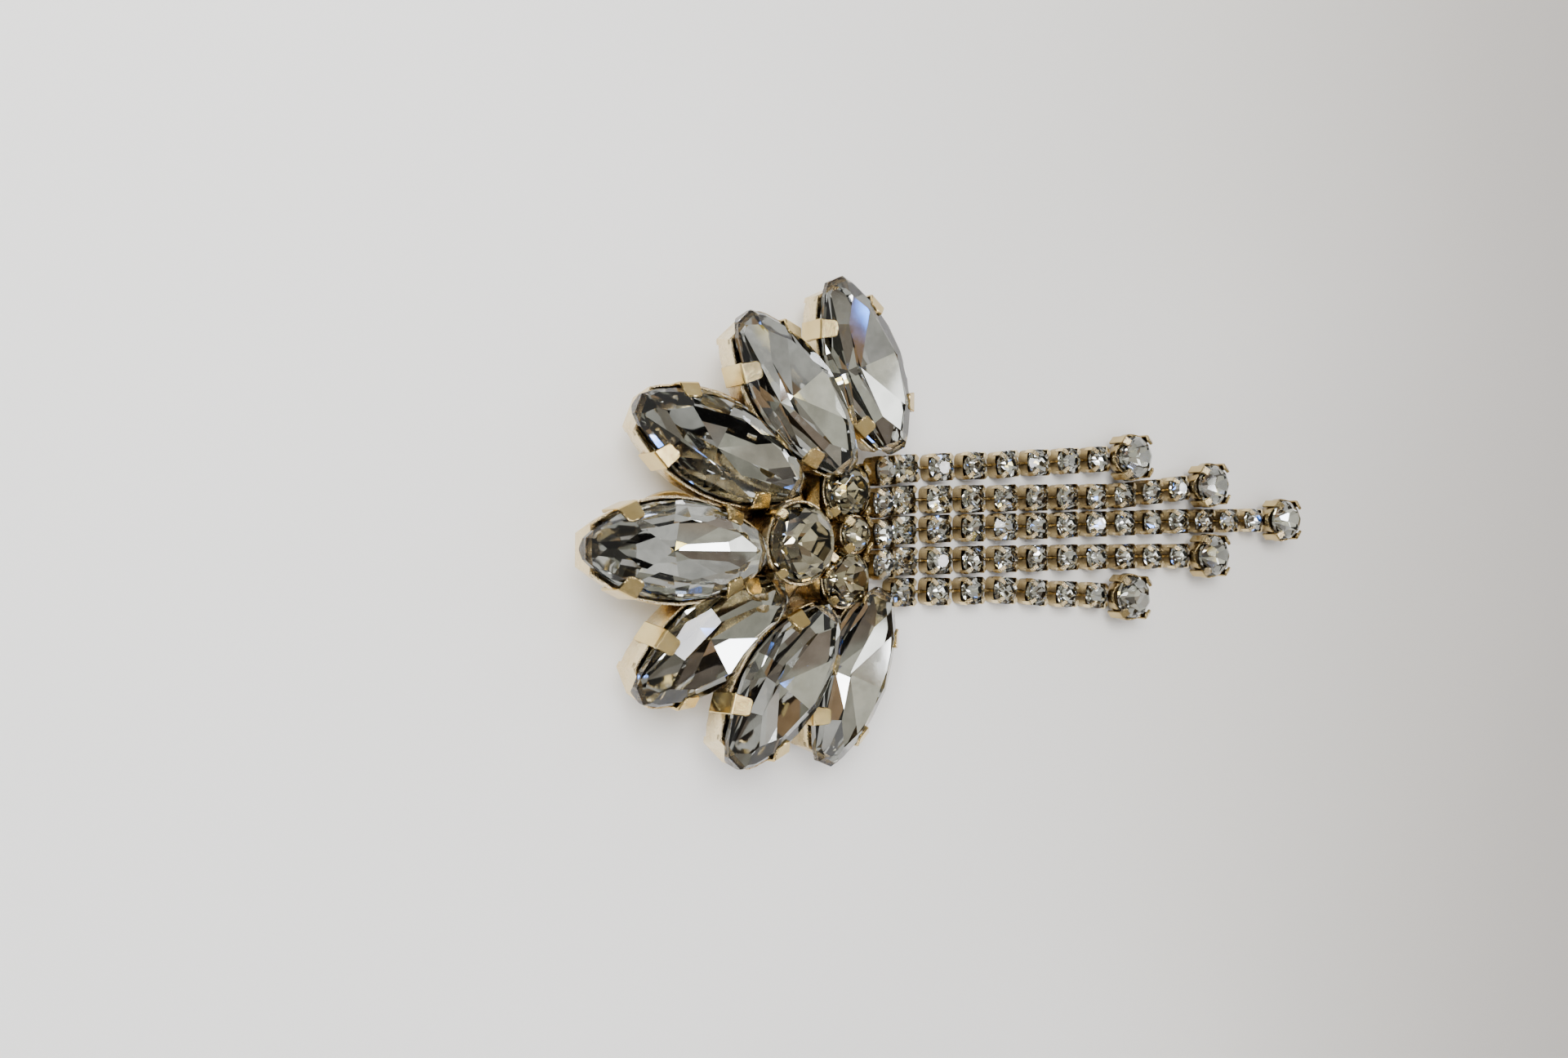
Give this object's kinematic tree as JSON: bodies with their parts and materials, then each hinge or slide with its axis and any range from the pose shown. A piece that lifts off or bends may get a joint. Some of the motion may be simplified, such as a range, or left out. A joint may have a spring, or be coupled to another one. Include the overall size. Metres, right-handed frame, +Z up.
{
  "type": "chandelier earring",
  "caption": "Chandelier clip earring: a fan of clear navette stones over a round-stone hub, with graduated cup chains that each end in a larger round stone.",
  "frame": {"origin": "under the middle of the whole earring, on the surface that it lies on", "axes": "+X from the fan towards the ends of the chains, +Y across, +Z up from the surface, out of the stones' faces"},
  "size_m": [0.083, 0.0392, 0.0092],
  "materials": {
    "crystal": "polished cut crystal with a silvered back",
    "gold": "polished pale champagne gold plating, a little worn",
    "chain": "gold-plated cups and links with clear stones"
  },
  "bodies": {
    "root": {"navette_stone_1": "crystal", "navette_stone_2": "crystal", "navette_stone_3": "crystal", "navette_stone_4": "crystal", "navette_stone_5": "crystal", "navette_stone_6": "crystal", "navette_stone_7": "crystal", "hub_stone": "crystal", "shoulder_stone_1": "crystal", "shoulder_stone_2": "crystal", "root_stone": "crystal", "fan_mount": "gold", "chain_1": "chain", "chain_2": "chain", "chain_3": "chain", "chain_4": "chain", "chain_5": "chain", "end_stone_1": "crystal", "end_stone_2": "crystal", "end_stone_3": "crystal", "end_stone_4": "crystal", "end_stone_5": "crystal", "ear_clip": "gold"}
  },
  "joints": []
}
